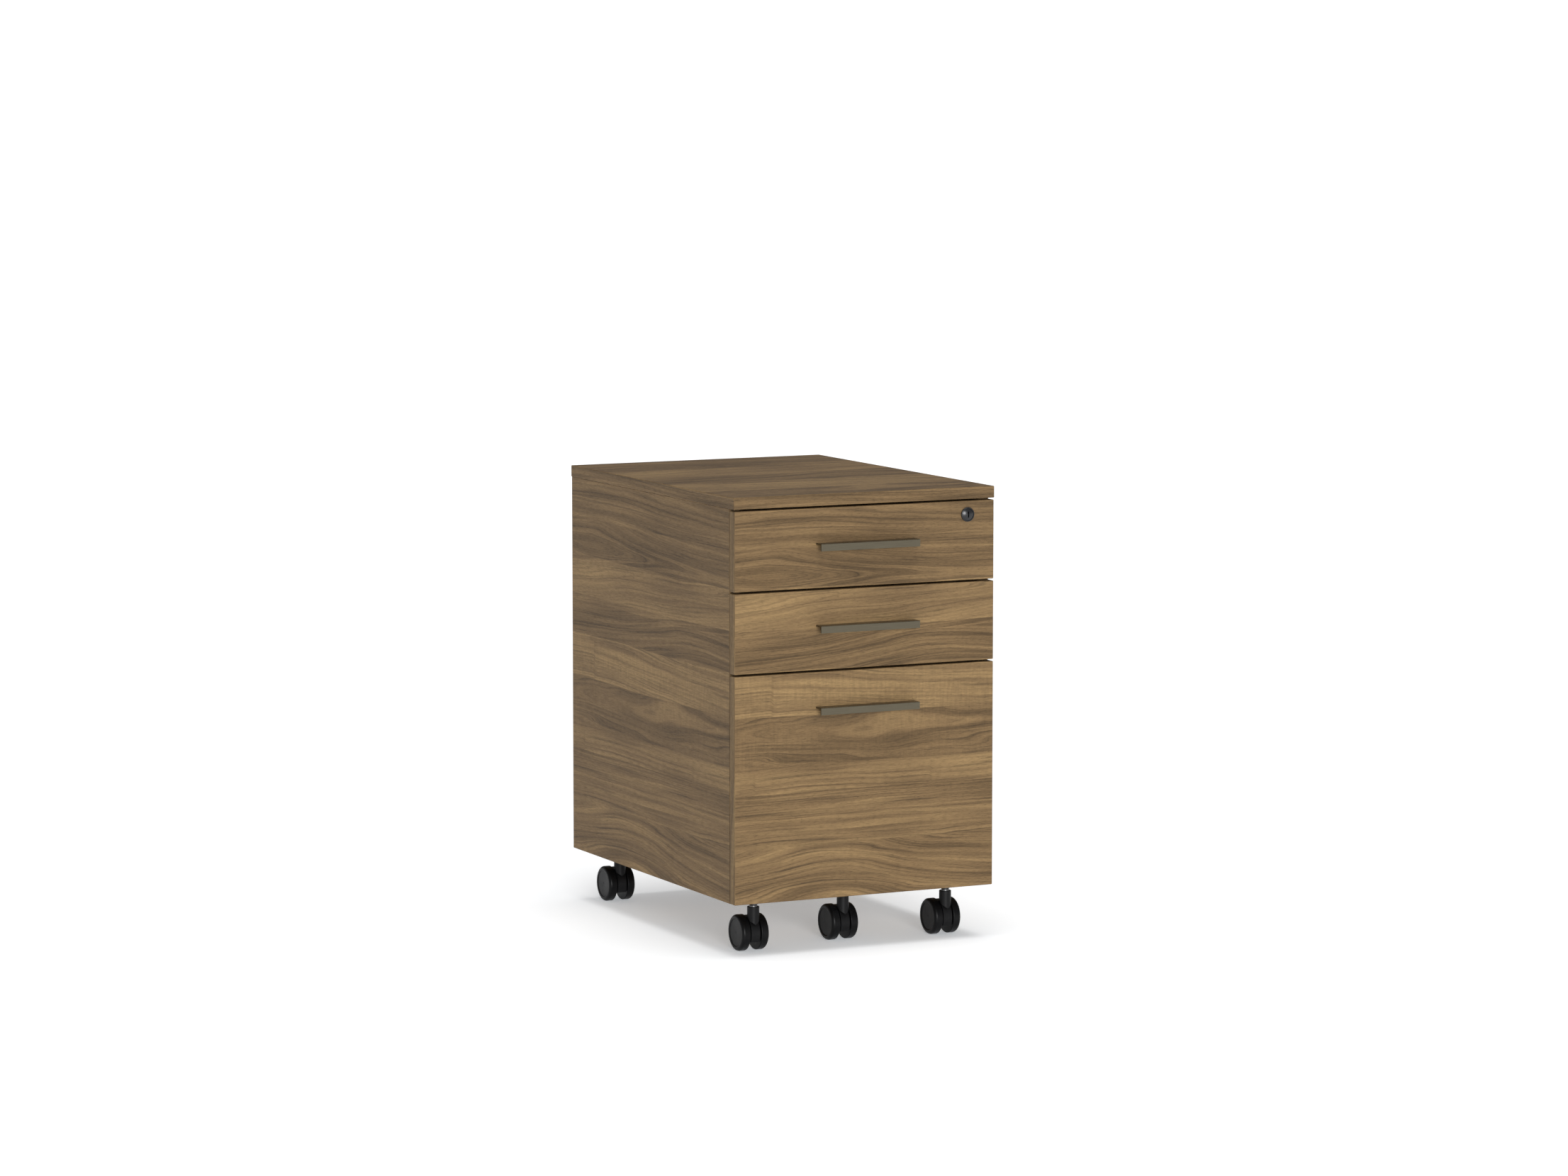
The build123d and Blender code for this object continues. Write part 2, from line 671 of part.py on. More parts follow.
# Bar: a flat strip in the side panel's groove, with a stop pin for each drawer
# and a slotted tab that the cam's pin lifts.
bar_x = inner_x + bar_inset
pin_end_x = box_half + stop_pin_gap
with BuildPart() as lock_bar:
    add(slab((bar_x, bar_x + bar_sheet),
             (front_y + bar_y - bar_width / 2, front_y + bar_y + bar_width / 2),
             (bar_low_z, bar_high_z), None))
    tab_y = front_y + bar_y + bar_width / 2 - bar_tab_sheet
    add(slab((lock_x, bar_x + bar_sheet), (tab_y, tab_y + bar_tab_sheet),
             (cam_pin_z - bar_tab_half, cam_pin_z + bar_tab_half), None))
    slot_low_x = cam_pin_x - cam_pin_radius - slot_end_play
    slot_high_x = lock_x + cam_throw + cam_pin_radius + slot_end_play
    slot_half = cam_pin_radius + slot_play
    add(slab((slot_low_x, slot_high_x), (tab_y, tab_y + bar_tab_sheet),
             (cam_pin_z - slot_half, cam_pin_z + slot_half), None), mode=Mode.SUBTRACT)
    for drawer in drawers.values():
        pin_start = (bar_x, front_y + bar_y, stop_pin_z(drawer) - cam_lift)
        add(rod(pin_start, (-1, 0, 0), stop_pin_radius, bar_x - pin_end_x))
save(lock_bar, "lock_bar")

# Straps that keep the bar in its groove.
with BuildPart() as lock_bar_straps:
    for strap_rise in strap_rises:
        strap_z = under_z + strap_rise
        add(slab((inner_x - strap_sheet, inner_x), (panel_y + strap_setback, front_y + strap_depth),
                 (strap_z - strap_height / 2, strap_z + strap_height / 2), None))
save(lock_bar_straps, "lock_bar_straps")

# ---------------------------------------------------------------- casters
def stem_profile(x, y, top):
    """A turned swivel stem: shank, shoulder collar and pivot, on the axis through x, y."""
    shoulder_low = fork_tube_top - shoulder_sink
    shoulder_high = fork_tube_top + stem_shoulder_rise
    waist_high = shoulder_high + stem_waist_rise
    collar_low = shoulder_high + stem_collar_rise
    pivot_low = fork_tube_top - stem_pivot_length
    with BuildPart() as stem:
        with BuildSketch(Plane(origin=(x, y, 0), x_dir=(1, 0, 0), z_dir=(0, -1, 0))):
            with BuildLine():
                Polyline(
                    (0, pivot_low),
                    (stem_radius, pivot_low),
                    (stem_radius, shoulder_low),
                    (stem_shoulder_radius, shoulder_low),
                    (stem_shoulder_radius, shoulder_high),
                    (stem_waist_radius, waist_high),
                    (stem_collar_radius, collar_low),
                    (stem_collar_radius, under_z - socket_flange),
                    (stem_radius, under_z - socket_flange),
                    (stem_radius, top),
                    (0, top),
                    close=True,
                )
            make_face()
        revolve(axis=Axis((x, y, 0), (0, 0, 1)))
    return stem.part


with BuildPart() as caster_stems:
    for x, y in caster_spots.values():
        add(stem_profile(x, y, under_z + board - stem_tip_gap))
save(caster_stems, "caster_stems")

with BuildPart() as caster_sockets:
    for x, y in caster_spots.values():
        add(rod((x, y, under_z - socket_flange), (0, 0, 1), washer_radius, socket_flange))
        add(rod((x, y, under_z), (0, 0, 1), socket_radius, board - socket_tip_gap))
        add(rod((x, y, under_z - socket_flange), (0, 0, 1), stem_radius + running, board),
            mode=Mode.SUBTRACT)
save(caster_sockets, "caster_sockets")

# The fifth stem is clamped in the saddle by a nut above and a washer below.
with BuildPart() as anti_tip_stem:
    add(stem_profile(*anti_tip_spot, under_z + saddle_sheet + nut_height + stem_above_nut))
    add(rod((*anti_tip_spot, under_z - socket_flange), (0, 0, 1), washer_radius, socket_flange))
    with BuildSketch(Plane.XY.offset(under_z + saddle_sheet)):
        with Locations(anti_tip_spot):
            RegularPolygon(nut_half_flats, 6, major_radius=False)
    extrude(amount=nut_height)
save(anti_tip_stem, "anti_tip_stem")


def caster_body(x, y):
    """Plate between the wheels, with the swivel tube standing at its front."""
    axle_y = y + trail
    across = Plane(origin=(x, y, 0), x_dir=(1, 0, 0), z_dir=(0, -1, 0))
    with BuildPart() as tube:
        with BuildSketch(Plane.XY.offset(tube_tip)):
            with Locations((x, y)):
                Circle(fork_tube_radius)
        extrude(amount=fork_tube_top - tube_tip)
        fillet(tube.edges().sort_by(Axis.Z)[-1], fork_tube_round)
        # the tube's foot is cut to a V, then cleared for the wheels
        with BuildSketch(across):
            for side in (-1, 1):
                with BuildLine():
                    Polyline((0, tube_tip), (side * foot_reach, tube_tip + foot_reach * foot_slope),
                             (side * foot_reach, tube_tip - 1), (0, tube_tip - 1), close=True)
                make_face()
        extrude(amount=foot_reach, both=True, mode=Mode.SUBTRACT)
        for side in (-1, 1):
            with BuildSketch(Plane.YZ.offset(x + side * fork_half)):
                with Locations((axle_y, wheel_radius)):
                    Circle(wheel_radius + wheel_clearance)
            extrude(amount=side * foot_reach, mode=Mode.SUBTRACT)
    with BuildPart() as body:
        with BuildSketch(Plane.YZ.offset(x - fork_half)):
            with Locations((axle_y, wheel_radius)):
                Circle(fork_radius)
            with Locations((axle_y, fork_floor - fork_radius)):
                Rectangle(2 * fork_radius, 2 * fork_radius, mode=Mode.SUBTRACT)
        extrude(amount=2 * fork_half)
        add(tube.part)
        # mouth for the stem's shoulder, its pivot bore, and the axle hole
        with Locations((x, y, fork_tube_top)):
            CounterBoreHole(stem_radius + running, stem_shoulder_radius + shoulder_play, mouth_depth,
                            depth=stem_pivot_length + pivot_end_gap)
        with BuildSketch(Plane.YZ.offset(x - fork_half)):
            with Locations((axle_y, wheel_radius)):
                Circle(axle_radius + running)
        extrude(amount=2 * fork_half, mode=Mode.SUBTRACT)
    return body


def caster_wheel(x, y, side):
    """One hooded wheel: rounded tread, rim ring and dished outer face, on a blind bore."""
    inner = wheel_inner
    outer = wheel_inner + wheel_width
    with BuildPart() as wheel:
        with BuildSketch(Plane.XY) as half_section:
            with BuildLine():
                Polyline(
                    (inner, 0),
                    (outer - face_dish, 0),
                    (outer - ring_rise, ring_inner_radius),
                    (outer, ring_inner_radius + face_dish),
                    (outer, wheel_radius),
                    (inner, wheel_radius),
                    close=True,
                )
            make_face()
            treads = half_section.vertices().group_by(Axis.Y)[-1].sort_by(Axis.X)
            fillet(treads[-1], tread_round)
            fillet(half_section.vertices().filter_by_position(Axis.X, inner, inner)
                   .sort_by(Axis.Y)[-1], wheel_inner_round)
        revolve(axis=Axis.X)
        with BuildSketch(Plane.YZ.offset(inner)):
            Circle(axle_radius + running)
        extrude(amount=wheel_bore_depth, mode=Mode.SUBTRACT)
    placed = wheel.part if side > 0 else wheel.part.mirror(Plane.YZ)
    with BuildPart() as piece:
        add(placed.moved(Location((x, y + trail, wheel_radius))))
    return piece


for spot, (x, y) in {**caster_spots, "anti_tip": anti_tip_spot}.items():
    save(caster_body(x, y), f"caster_{spot}_body")
    save(caster_wheel(x, y, -1), f"caster_{spot}_left_wheel")
    save(caster_wheel(x, y, 1), f"caster_{spot}_right_wheel")
    with BuildPart() as axle:
        half_axle = wheel_inner + wheel_bore_depth - axle_end_gap
        add(rod((x - half_axle, y + trail, wheel_radius), (1, 0, 0), axle_radius, 2 * half_axle))
        chamfer(axle.edges(), axle_chamfer)
    save(axle, f"caster_{spot}_axle")
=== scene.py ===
"""Looks of the mobile drawer pedestal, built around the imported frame.

Everything is in metres in the row frame: +Z up, the drawer fronts face -Y.
"""
import json
import math

import bpy
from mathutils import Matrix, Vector


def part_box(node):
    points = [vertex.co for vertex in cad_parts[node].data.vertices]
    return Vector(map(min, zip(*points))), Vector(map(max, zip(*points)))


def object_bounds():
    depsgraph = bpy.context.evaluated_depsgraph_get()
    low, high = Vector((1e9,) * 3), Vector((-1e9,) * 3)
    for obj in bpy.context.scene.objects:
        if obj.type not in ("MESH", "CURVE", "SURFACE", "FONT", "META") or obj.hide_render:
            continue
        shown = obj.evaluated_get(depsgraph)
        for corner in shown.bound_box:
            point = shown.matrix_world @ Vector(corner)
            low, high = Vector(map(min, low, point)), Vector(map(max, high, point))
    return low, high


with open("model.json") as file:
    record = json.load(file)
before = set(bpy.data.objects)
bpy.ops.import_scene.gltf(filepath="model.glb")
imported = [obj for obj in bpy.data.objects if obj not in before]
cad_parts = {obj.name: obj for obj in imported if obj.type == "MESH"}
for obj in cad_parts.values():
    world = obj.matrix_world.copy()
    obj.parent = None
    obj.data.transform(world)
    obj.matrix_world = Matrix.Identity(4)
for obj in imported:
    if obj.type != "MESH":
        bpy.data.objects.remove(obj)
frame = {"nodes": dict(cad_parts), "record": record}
cad_low, cad_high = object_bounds()

# ---------------------------------------------------------------- places read from the frame
front_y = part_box("upper_front")[0].y
side_low, side_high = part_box("left_side_panel")
case_low = side_low.z
case_back = side_high.y
case_depth = case_back - front_y
floor_z = cad_low.z

# ---------------------------------------------------------------- camera and light
view_azimuth = math.radians(25.98)     # from straight on, towards the left side
view_elevation = math.radians(6.507)
view_distance = 7.215
view_lens = 121.38
sensor_width = 36.0
view_reach = 200.0
aim = Vector((-0.1248, front_y, 0.5089))

sky_strength = 0.30
horizon_strength = 1.05
horizon_band = (0.035, 0.06)                     # sine of the elevation: all horizon, all sky
top_light_strength = 1.60
top_light_angle = math.radians(36)
top_light_direction = Vector((0.0, -0.10, 1.0))  # towards the light
front_light_strength = 2.53
front_light_angle = math.radians(24)
front_light_direction = Vector((-0.225, -0.96, 0.13))

floor_half = 60.0
floor_glow = 0.30
floor_glow_colour = (0.96, 1.0, 1.04)            # balances the warm light off the wood


def make_camera():
    """The viewing direction of a product picture, from the front left and a little above."""
    data = bpy.data.cameras.new("camera")
    data.lens = view_lens
    data.sensor_width = sensor_width
    data.sensor_fit = "HORIZONTAL"
    data.clip_end = view_reach
    camera = bpy.data.objects.new("camera", data)
    towards = Vector((
        math.sin(view_azimuth) * math.cos(view_elevation),
        math.cos(view_azimuth) * math.cos(view_elevation),
        -math.sin(view_elevation),
    ))
    camera.location = aim - towards * view_distance
    camera.rotation_euler = towards.to_track_quat("-Z", "Y").to_euler()
    bpy.context.scene.collection.objects.link(camera)
    bpy.context.scene.camera = camera


def make_surround():
    """A white world that is bright at the horizon and dimmer above and below it."""
    world = bpy.data.worlds.new("surround")
    world.use_nodes = True
    tree = world.node_tree
    background = tree.nodes["Background"]
    background.inputs["Color"].default_value = (1.0, 1.0, 1.0, 1.0)
    source = tree.nodes.new("ShaderNodeTexCoord")
    parts = tree.nodes.new("ShaderNodeSeparateXYZ")
    tree.links.new(source.outputs["Generated"], parts.inputs[0])
    rise = tree.nodes.new("ShaderNodeMath")
    rise.operation = "ABSOLUTE"
    tree.links.new(parts.outputs["Z"], rise.inputs[0])
    fade = tree.nodes.new("ShaderNodeMapRange")
    tree.links.new(rise.outputs[0], fade.inputs["Value"])
    fade.inputs["From Min"].default_value = horizon_band[0]
    fade.inputs["From Max"].default_value = horizon_band[1]
    fade.inputs["To Min"].default_value = horizon_strength
    fade.inputs["To Max"].default_value = sky_strength
    tree.links.new(fade.outputs[0], background.inputs["Strength"])
    bpy.context.scene.world = world


def make_sun(name, strength, angle, direction):
    """A broad, even light that comes from a direction."""
    data = bpy.data.lights.new(name, "SUN")
    data.energy = strength
    data.angle = angle
    sun = bpy.data.objects.new(name, data)
    sun.rotation_euler = direction.to_track_quat("Z", "Y").to_euler()
    bpy.context.scene.collection.objects.link(sun)


def make_light():
    """The pale surround, with one light overhead and one in front."""
    bpy.context.scene.view_settings.view_transform = "Standard"
    make_surround()
    make_sun("top_light", top_light_strength, top_light_angle, top_light_direction)
    make_sun("front_light", front_light_strength, front_light_angle, front_light_direction)


# ---------------------------------------------------------------- shader helpers
class Shader:
    """A material's node tree, with short ways to add nodes and join them."""

    def __init__(self, name):
        self.material = bpy.data.materials.new(name)
        self.material.use_nodes = True
        self.tree = self.material.node_tree
        self.surface = self.tree.nodes["Principled BSDF"]

    def set(self, socket, value):
        """Set a socket to a number or colour, or join another node's output to it."""
        if isinstance(value, bpy.types.NodeSocket):
            self.tree.links.new(value, socket)
        elif isinstance(value, (tuple, list)) and len(value) == 3 and socket.type == "RGBA":
            socket.default_value = (*value, 1.0)
        else:
            socket.default_value = value

    def node(self, kind, settings=None, **inputs):
        made = self.tree.nodes.new(kind)
        for key, value in (settings or {}).items():
            setattr(made, key, value)
        for key, value in inputs.items():
            self.set(made.inputs[key.replace("_", " ")], value)
        return made

    def math(self, operation, *values):
        made = self.node("ShaderNodeMath", {"operation": operation})
        for socket, value in zip(made.inputs, values):
            self.set(socket, value)
        return made.outputs[0]

    def times(self, value, factor):
        return self.math("MULTIPLY", value, factor)

    def times_plus(self, value, factor, more):
        return self.math("MULTIPLY_ADD", value, factor, more)

    def swing(self, noise, reach, value):
        """A value moved up or down by a noise of 0 to 1, half the reach at most."""
        return self.times_plus(self.math("SUBTRACT", noise, 0.5), reach, value)

    def bell(self, reach):
        """1 where the reach is 0, falling smoothly to 0."""
        return self.math("EXPONENT", self.times(reach, -1.0))

    def vector(self, x, y, z):
        made = self.node("ShaderNodeCombineXYZ")
        for socket, value in zip(made.inputs, (x, y, z)):
            self.set(socket, value)
        return made.outputs[0]

    def noise(self, place, scale=1.0, detail=2.0, roughness=0.5):
        made = self.node("ShaderNodeTexNoise", Vector=place, Scale=scale, Detail=detail,
                         Roughness=roughness)
        return made.outputs["Fac"]

    def ramp(self, factor, stops, interpolation="LINEAR"):
        """Greys or colours by a factor.  Each stop is a place and what it shows there."""
        made = self.node("ShaderNodeValToRGB", Fac=factor)
        made.color_ramp.interpolation = interpolation
        elements = made.color_ramp.elements
        while len(elements) < len(stops):
            elements.new(1.0)
        for element, (place, shown) in zip(elements, stops):
            element.position = place
            element.color = (*shown, 1.0) if isinstance(shown, tuple) else (shown, shown, shown, 1.0)
        return made.outputs["Color"]

    def mix(self, factor, a, b, blend="MIX"):
        made = self.node("ShaderNodeMix", {"data_type": "RGBA", "blend_type": blend})
        self.set(made.inputs[0], factor)
        self.set(made.inputs[6], a)
        self.set(made.inputs[7], b)
        return made.outputs[2]

    def shade(self, colour, by, share=None):
        """A colour multiplied by a shade, in full or by a share."""
        shaded = self.mix(1.0, colour, by, "MULTIPLY")
        return shaded if share is None else self.mix(share, colour, shaded)

    def choose(self, mask, if_off, if_on):
        """One number or the other, by a mask of 0 or 1."""
        made = self.node("ShaderNodeMix", {"data_type": "FLOAT"})
        self.set(made.inputs[0], mask)
        self.set(made.inputs[2], if_off)
        self.set(made.inputs[3], if_on)
        return made.outputs[0]

    def bump(self, height, distance, strength):
        made = self.node("ShaderNodeBump", Height=height, Distance=distance, Strength=strength)
        self.set(self.surface.inputs["Normal"], made.outputs[0])

    def place(self):
        return self.node("ShaderNodeTexCoord").outputs["Object"]

    def place_and_normal(self):
        """Object-space place and normal, each split into three numbers."""
        source = self.node("ShaderNodeTexCoord")
        place = self.node("ShaderNodeSeparateXYZ", Vector=source.outputs["Object"])
        normal = self.node("ShaderNodeSeparateXYZ", Vector=source.outputs["Normal"])
        return place.outputs, normal.outputs

    def finish(self, **inputs):
        for key, value in inputs.items():
            self.set(self.surface.inputs[key.replace("_", " ")], value)
        return self.material


def srgb(code):
    """A hex colour as linear red, green and blue."""
    parts = [int(code[i:i + 2], 16) / 255 for i in (0, 2, 4)]
    return tuple(c / 12.92 if c <= 0.04045 else ((c + 0.055) / 1.055) ** 2.4 for c in parts)


# ---------------------------------------------------------------- wood laminate
# One printed sheet covers the front, and is stretched over the sides and the top.
# Its planks, from the sheet's lower edge up.  A plank's growth lines run beside an
# axis that may tilt, and swell into nested ovals round the axis's centre.
plank_columns = {
    "tone": (0.0, 1.0),         # dark to light
    "tilt": (-0.25, 0.25),      # rise of the axis to the right
    "lines": (0.0, 400.0),      # growth lines per metre
    "centre_u": (-0.2, 0.6),
    "centre_v": (-0.3, 0.7),
    "swell": (0.0, 10.0),       # growth lines that open at the centre
    "wander": (0.0, 3.0),
    "ripple": (0.0, 1.0),       # wavy cross figure
    "shift": (0.0, 1.0),        # which piece of the noise it shows
}
planks = (
    # start, tone, tilt, lines, centre_u, centre_v, swell, wander, ripple, shift
    (0.000, 0.54, -0.02, 200, 0.15, -0.002, 6.5, 1.1, 0.20, 0.13),
    (0.075, 0.48, 0.01, 170, 0.10, -0.150, 1.0, 0.7, 0.15, 0.57),
    (0.096, 0.54, 0.00, 190, 0.20, -0.150, 0.8, 0.5, 0.20, 0.21),
    (0.115, 0.44, 0.01, 240, 0.30, -0.150, 0.8, 0.5, 0.15, 0.81),
    (0.150, 0.62, 0.02, 180, 0.10, -0.150, 0.8, 0.5, 0.15, 0.33),
    (0.187, 0.41, 0.00, 170, 0.24, 0.236, 2.6, 2.2, 0.90, 0.62),
    (0.255, 0.68, -0.03, 220, 0.10, 0.050, 1.5, 0.8, 1.00, 0.68),
    (0.318, 0.39, 0.03, 270, 0.30, 0.305, 5.5, 0.8, 0.15, 0.07),
    (0.366, 0.44, 0.07, 260, 0.30, 0.100, 1.5, 0.7, 0.15, 0.93),
    (0.376, 0.66, 0.09, 180, 0.10, 0.100, 1.2, 1.0, 0.20, 0.34),
    (0.431, 0.41, -0.02, 230, 0.06, 0.450, 5.5, 0.8, 0.10, 0.76),
    (0.486, 0.45, -0.02, 210, 0.10, 0.250, 1.5, 0.7, 0.20, 0.28),
    (0.543, 0.38, 0.00, 260, 0.10, 0.250, 1.0, 0.5, 0.10, 0.51),
)
sheet_width = 0.40
sheet_height = 0.56
top_sheet_start = 0.205         # the top shows the sheet's upper part, stretched
top_stretch = 0.55
facing = 0.5                    # a face looks along an axis when its normal has more of it than this
seam_wobble = 0.007             # how far the planks' joints stray
swell_reach = 0.13              # along the axis, to where ovals have all but closed
axis_round = 0.003
shift_spread = 37.0             # keeps the planks' noises apart
slow_bend = 4.0                 # growth lines that long waves move, for a wander of 1
quick_bend = 0.9                # growth lines that short waves move
uneven_spacing = 2.6            # growth lines by which their spacing varies
faintest_line = 0.20            # strength of the weakest growth line
line_variety = 0.75             # how much stronger the strongest one is
band_contrast = 1.55
cloud_contrast = 0.45
# Small pin knots: place on the sheet, half height, and how dark.
pins = (
    (0.0575, 0.286, 0.030, 0.22),
    (0.0300, 0.168, 0.012, 0.18),
    (0.1580, 0.421, 0.004, 0.25),
    (0.3020, 0.164, 0.010, 0.12),
)
pin_half_width = 0.0022
pin_squareness = 6.0            # power that makes a pin's ends blunt
pin_offset = 0.9                # growth lines that a pin displaces

wood_dark = srgb("493822")
wood_middle = srgb("715a3c")
wood_light = srgb("8d734d")
edge_band_shade = 0.76          # the edge bands are printed a little darker than the faces
# how dark a growth line is, from one line to the next
growth_line = ((0.0, 0.42), (0.05, 0.78), (0.12, 1.0), (0.55, 1.04), (0.84, 0.86), (0.95, 0.50), (1.0, 0.42))


class Walnut(Shader):
    """Printed walnut, laid on by the way each face looks.

    On faces that look along the banded axis the edge band's grain runs upright.
    """

    def __init__(self, name, banded=None):
        super().__init__(name)
        self.lay_on(banded)
        self.plank = self.plank_numbers()
        self.seed = self.times(self.plank["shift"], shift_spread)

    def lay_on(self, banded):
        """The place on the printed sheet, u along the grain and v across it."""
        place, normal = self.place_and_normal()
        x, y, z = place
        looks = {axis: self.math("GREATER_THAN", self.math("ABSOLUTE", way), facing)
                 for axis, way in zip("xyz", normal)}
        self.u = self.choose(looks["x"], self.math("ADD", x, sheet_width / 2),
                             self.times(self.math("SUBTRACT", case_back, y), sheet_width / case_depth))
        self.v = self.choose(looks["z"], self.math("SUBTRACT", z, case_low),
                             self.times_plus(self.math("SUBTRACT", y, front_y), top_stretch, top_sheet_start))
        self.band = looks[banded] if banded else None
        if banded:
            across = {"x": y, "y": x}[banded]
            self.u = self.choose(self.band, self.u, z)
            self.v = self.choose(self.band, self.v, self.math("ADD", across, sheet_height))

    def layer(self, along, across, seed, detail, roughness=0.5):
        """Noise on the sheet, with so many features per metre along and across the grain."""
        return self.noise(self.vector(self.times(self.u, along), self.times(self.v, across), seed),
                          detail=detail, roughness=roughness)

    def height_layer(self, height, per_line, along, detail, roughness=0.5):
        """Noise that follows the growth lines."""
        return self.noise(self.vector(self.times(height, per_line), self.times(self.u, along), self.seed),
                          detail=detail, roughness=roughness)

    def plank_numbers(self):
        """The numbers of the plank at this place, each row of planks as stops of a ramp."""
        drift = self.layer(along=6.0, across=9.0, seed=0.3, detail=1.0)
        place = self.math("DIVIDE", self.swing(drift, seam_wobble, self.v), sheet_height)
        numbers = {}
        columns = list(plank_columns)
        for first in range(0, len(columns), 3):
            trio = columns[first:first + 3]
            stops = []
            for row in planks:
                shares = []
                for column in trio:
                    low, high = plank_columns[column]
                    shares.append((row[1 + columns.index(column)] - low) / (high - low))
                stops.append((row[0] / sheet_height, tuple(shares)))
            split = self.node("ShaderNodeSeparateColor", Color=self.ramp(place, stops, "CONSTANT")).outputs
            for column, output in zip(trio, split):
                low, high = plank_columns[column]
                numbers[column] = self.times_plus(output, high - low, low)
        return numbers

    def growth_height(self):
        """A height whose level lines are the growth lines."""
        plank = self.plank
        along = self.math("SUBTRACT", self.u, plank["centre_u"])
        off_axis = self.math("SUBTRACT", self.v, self.times_plus(plank["tilt"], along, plank["centre_v"]))
        beside = self.math("SQRT", self.times_plus(off_axis, off_axis, axis_round ** 2))
        scaled = self.math("DIVIDE", along, swell_reach)
        oval = self.bell(self.times(scaled, scaled))
        slow = self.layer(along=5.0, across=24.0, seed=self.seed, detail=1.5)
        quick = self.layer(along=16.0, across=110.0, seed=self.seed, detail=2.0)
        height = self.times(plank["lines"], beside)
        height = self.math("SUBTRACT", height, self.times(plank["swell"], oval))
        height = self.swing(slow, self.times(plank["wander"], slow_bend), height)
        return self.swing(quick, quick_bend, height)

    def push_by_pins(self, height):
        """Pin knots push the growth lines aside and leave a dark upright mark."""
        mark = 0.0
        for pin_u, pin_v, half_height, darkness in pins:
            off_u = self.math("DIVIDE", self.math("SUBTRACT", self.u, pin_u), pin_half_width)
            off_v = self.math("DIVIDE", self.math("SUBTRACT", self.v, pin_v), half_height)
            blunt = self.math("POWER", self.math("ABSOLUTE", off_v), pin_squareness)
            spot = self.bell(self.math("ADD", self.times(off_u, off_u), blunt))
            mark = self.times_plus(spot, darkness, mark)
            push = self.times(self.math("TANH", off_u), self.bell(blunt))
            height = self.times_plus(push, pin_offset / 2, height)
        return height, mark

    def growth_lines(self, height):
        """Sharp growth lines of uneven spacing, and how strong each one is."""
        jitter = self.height_layer(height, per_line=0.45, along=2.0, detail=1.0)
        uneven = self.swing(jitter, uneven_spacing, height)
        line = self.ramp(self.math("FRACT", uneven), growth_line)
        chance = self.node("ShaderNodeTexWhiteNoise", {"noise_dimensions": "1D"},
                           W=self.times_plus(self.seed, 3.0, self.math("FLOOR", uneven))).outputs["Value"]
        return line, self.times_plus(chance, line_variety, faintest_line)

    def tone(self, height, cloud):
        """Dark and light bands along the growth lines, round the plank's own tone."""
        broad = self.height_layer(height, per_line=0.55, along=3.0, detail=4.0, roughness=0.62)
        level = self.swing(broad, band_contrast, self.plank["tone"])
        level = self.swing(cloud, cloud_contrast, level)
        return self.ramp(level, ((0.05, wood_dark), (0.50, wood_middle), (0.95, wood_light)))

    def paint(self):
        height, mark = self.push_by_pins(self.growth_height())
        cloud = self.layer(along=7.0, across=22.0, seed=4.4, detail=2.0)
        colour = self.tone(height, cloud)

        thin = self.height_layer(height, per_line=1.5, along=6.0, detail=2.5, roughness=0.6)
        streak = self.ramp(thin, ((0.30, 0.58), (0.37, 0.80), (0.44, 1.0), (0.62, 1.06)))
        presence = self.layer(along=7.0, across=55.0, seed=7.7, detail=2.0)
        line_share = self.ramp(presence, ((0.36, 0.30), (0.60, 1.0)))
        colour = self.shade(colour, streak, line_share)
        line, strength = self.growth_lines(height)
        colour = self.shade(colour, line, self.times(strength, line_share))

        fibre = self.layer(along=110.0, across=1000.0, seed=3.1, detail=3.0, roughness=0.65)
        colour = self.shade(colour, self.ramp(fibre, ((0.30, 0.70), (0.50, 1.0), (0.80, 1.18))))
        pore = self.layer(along=200.0, across=800.0, seed=5.9, detail=1.0)
        colour = self.shade(colour, self.ramp(pore, ((0.25, 0.72), (0.36, 1.0))))
        ripple = self.layer(along=300.0, across=40.0, seed=2.2, detail=1.0)
        ripple_share = self.times(self.plank["ripple"], self.ramp(cloud, ((0.35, 0.2), (0.6, 1.0))))
        colour = self.shade(colour, self.ramp(ripple, ((0.30, 0.92), (0.70, 1.08))), ripple_share)

        colour = self.mix(mark, colour, wood_dark)
        if self.band is not None:
            band_shade = self.choose(self.band, 1.0, edge_band_shade)
            colour = self.shade(colour, self.vector(band_shade, band_shade, band_shade))
        self.bump(fibre, distance=0.00010, strength=0.35)
        return self.finish(Base_Color=colour, Roughness=self.ramp(fibre, ((0.3, 0.68), (0.7, 0.56))),
                           Specular_IOR_Level=0.25)


# ---------------------------------------------------------------- metals and plastics
def brushed_bronze():
    """Dark bronze anodised aluminium, brushed along X."""
    s = Shader("bronze_anodised")
    (x, y, z), _ = s.place_and_normal()
    stretched = s.vector(s.times(x, 30.0), s.times(y, 4000.0), s.times(z, 4000.0))
    brush = s.noise(stretched, detail=3.0, roughness=0.7)
    colour = s.ramp(brush, ((0.25, srgb("5a5347")), (0.75, srgb("706a5a"))))
    s.bump(brush, distance=0.00003, strength=0.4)
    return s.finish(Base_Color=colour, Metallic=1.0, Roughness=s.ramp(brush, ((0.2, 0.30), (0.8, 0.42))))


def dimmed(colour, share):
    return tuple(part * share for part in colour)


def metal(name, base, smooth, rough, scale):
    """Plated or turned steel with a faint uneven bloom."""
    s = Shader(name)
    place = s.place()
    bloom = s.noise(place, scale=scale, detail=4.0, roughness=0.6)
    fine = s.noise(place, scale=scale * 14, detail=2.0)
    s.bump(fine, distance=0.00003, strength=0.3)
    return s.finish(Base_Color=s.ramp(bloom, ((0.3, dimmed(base, 0.82)), (0.7, base))), Metallic=1.0,
                    Roughness=s.ramp(bloom, ((0.3, smooth), (0.7, rough))))


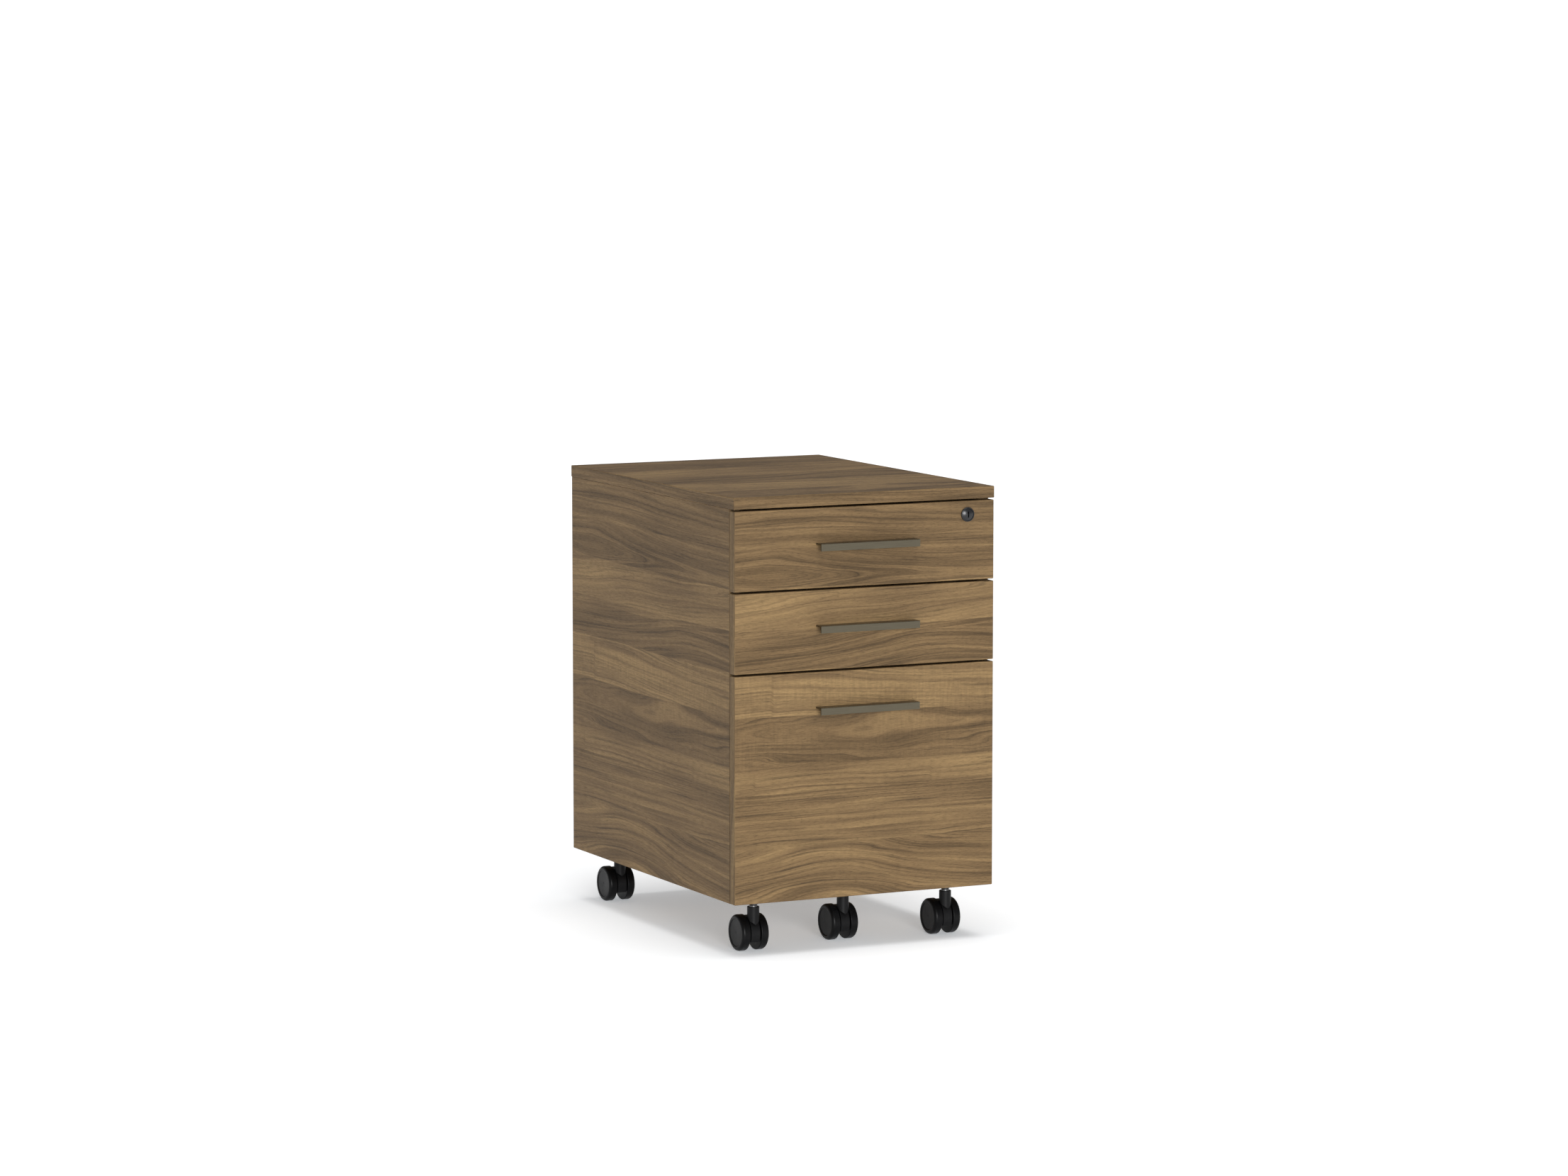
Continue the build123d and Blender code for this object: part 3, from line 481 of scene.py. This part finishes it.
def plastic(name, base, smooth, rough, grain=2600.0, depth=0.00004, shine=0.5):
    """Moulded plastic with a fine spark-eroded texture."""
    s = Shader(name)
    place = s.place()
    texture = s.noise(place, scale=grain, detail=2.0)
    cloud = s.noise(place, scale=60.0, detail=3.0)
    s.bump(texture, distance=depth, strength=0.5)
    return s.finish(Base_Color=s.ramp(cloud, ((0.35, base), (0.65, dimmed(base, 1.25)))),
                    Roughness=s.ramp(cloud, ((0.3, smooth), (0.7, rough))), Specular_IOR_Level=shine)


def melamine(name, base, speckle_share=0.3):
    """Plain melamine-faced board with a light speckle."""
    s = Shader(name)
    place = s.place()
    speckle = s.noise(place, scale=900.0, detail=3.0)
    cloud = s.noise(place, scale=12.0, detail=3.0)
    dim = dimmed(base, 0.9)
    clouded = s.ramp(cloud, ((0.3, dim), (0.7, base)))
    speckled = s.ramp(speckle, ((0.35, dim), (0.65, base)))
    s.bump(speckle, distance=0.00005, strength=0.3)
    return s.finish(Base_Color=s.mix(speckle_share, clouded, speckled), Roughness=0.5)


# ---------------------------------------------------------------- materials by node
def paint(nodes, material):
    """Put one material on each named CAD node."""
    for name in nodes:
        mesh = frame["nodes"][name].data
        mesh.materials.clear()
        mesh.materials.append(material)


def paint_wood():
    paint(["upper_front", "middle_front", "file_front"], Walnut("walnut_fronts", "x").paint())
    paint(["left_side_panel", "right_side_panel"], Walnut("walnut_sides", "y").paint())
    paint(["top_panel", "bottom_panel", "back_panel"], Walnut("walnut_boards").paint())


def paint_slots():
    """Every node whose record names one of these materials."""
    materials = {
        "box_board": melamine("grey_melamine", srgb("8b8a87")),
        "handle_bronze": brushed_bronze(),
        "zinc_steel": metal("zinc_plate", srgb("c4c6c8"), smooth=0.30, rough=0.45, scale=90.0),
        "bearing_steel": metal("bearing_steel", srgb("c9cacc"), smooth=0.15, rough=0.30, scale=200.0),
        "stem_steel": metal("turned_steel", srgb("9a9a9b"), smooth=0.32, rough=0.45, scale=150.0),
        "lock_bar_aluminium": metal("mill_aluminium", srgb("cfd0d0"), smooth=0.35, rough=0.5, scale=120.0),
        "lock_black": plastic("lock_black", srgb("141416"), smooth=0.26, rough=0.34, grain=1500.0,
                              depth=0.00001),
        "rail_plastic": plastic("rail_black", srgb("2a2a2b"), smooth=0.45, rough=0.6),
        "caster_black": plastic("caster_black", srgb("0e0e0f"), smooth=0.40, rough=0.48, shine=0.16),
        "caster_wheel_black": plastic("caster_wheel_black", srgb("080809"), smooth=0.34, rough=0.42,
                                      shine=0.15),
    }
    parts = frame["record"]["subparts"]
    for slot, material in materials.items():
        paint([part["node"] for part in parts if part["material_slot"] == slot], material)


def make_floor():
    """A plain white floor, far larger than the view."""
    mesh = bpy.data.meshes.new("floor")
    corners = [(x * floor_half, y * floor_half, floor_z) for x, y in ((-1, -1), (1, -1), (1, 1), (-1, 1))]
    mesh.from_pydata(corners, [], [(0, 1, 2, 3)])
    floor = bpy.data.objects.new("floor", mesh)
    bpy.context.scene.collection.objects.link(floor)
    s = Shader("floor_white")
    faint = s.noise(s.place(), scale=3.0, detail=2.0)
    colour = s.ramp(faint, ((0.3, 0.90), (0.7, 0.92)))
    mesh.materials.append(s.finish(Base_Color=colour, Roughness=0.9, Specular_IOR_Level=0.0,
                                   Emission_Color=floor_glow_colour, Emission_Strength=floor_glow))


make_camera()
make_light()
make_floor()
paint_wood()
paint_slots()
